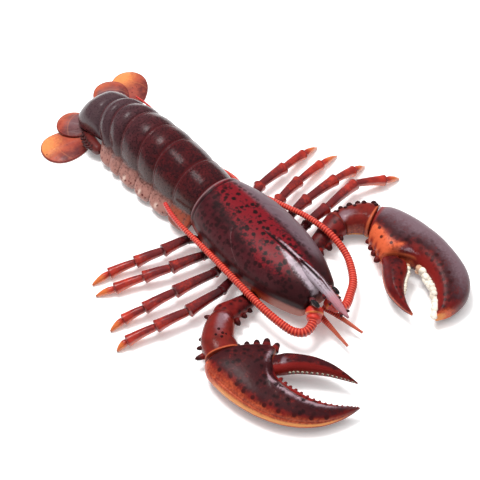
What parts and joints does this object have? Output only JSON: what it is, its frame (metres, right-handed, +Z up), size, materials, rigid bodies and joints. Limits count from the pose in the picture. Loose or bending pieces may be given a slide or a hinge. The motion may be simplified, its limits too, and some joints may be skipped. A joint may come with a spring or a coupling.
{
  "type": "toy lobster figure",
  "caption": "Moulded vinyl toy lobster with a segmented tail, spread tail fan, walking legs, long ringed antennae and two unlike claws; lies flat on its claws, legs and fan.",
  "frame": {"origin": "middle of the footprint, on the floor the figure lies on", "axes": "+Y towards the tail fan, so the head and claws point to -Y; +X to the lobster's left; +Z up"},
  "size_m": [0.1894, 0.2666, 0.0326],
  "materials": {
    "maroon_vinyl_back": "glossy painted vinyl, dark maroon with black-brown spots",
    "plum_vinyl_abdomen": "glossy painted vinyl, near-black plum with lighter lower lobes",
    "amber_vinyl_fan": "satin painted vinyl, orange and amber with dark red rims",
    "red_vinyl_legs": "glossy painted vinyl, dark red fading to amber at the tips",
    "maroon_vinyl_claws": "glossy painted vinyl, plum back, red flanks, amber lower margin, cream teeth",
    "coral_vinyl_antennae": "satin painted vinyl, coral red, finely ringed",
    "black_gloss_eyes": "glossy black paint"
  },
  "bodies": {
    "root": {"abdomen_band_1": "plum_vinyl_abdomen", "abdomen_band_2": "plum_vinyl_abdomen", "abdomen_band_3": "plum_vinyl_abdomen", "abdomen_band_4": "plum_vinyl_abdomen", "abdomen_band_5": "plum_vinyl_abdomen", "abdomen_band_6": "plum_vinyl_abdomen", "antenna_left": "coral_vinyl_antennae", "antenna_right": "coral_vinyl_antennae", "antennule_left": "coral_vinyl_antennae", "antennule_right": "coral_vinyl_antennae", "carapace": "maroon_vinyl_back", "claw_arm_left": "maroon_vinyl_claws", "claw_arm_right": "maroon_vinyl_claws", "claw_crusher": "maroon_vinyl_claws", "claw_crusher_finger": "maroon_vinyl_claws", "claw_cutter": "maroon_vinyl_claws", "claw_cutter_finger": "maroon_vinyl_claws", "eye_left": "black_gloss_eyes", "eye_right": "black_gloss_eyes", "leg_1_left": "red_vinyl_legs", "leg_1_right": "red_vinyl_legs", "leg_2_left": "red_vinyl_legs", "leg_2_right": "red_vinyl_legs", "leg_3_left": "red_vinyl_legs", "leg_3_right": "red_vinyl_legs", "leg_4_left": "red_vinyl_legs", "leg_4_right": "red_vinyl_legs", "protopod_left": "amber_vinyl_fan", "protopod_right": "amber_vinyl_fan", "sternum": "maroon_vinyl_claws", "telson": "plum_vinyl_abdomen", "uropod_inner_left": "amber_vinyl_fan", "uropod_inner_right": "amber_vinyl_fan", "uropod_outer_left": "amber_vinyl_fan", "uropod_outer_right": "amber_vinyl_fan"}
  },
  "joints": []
}
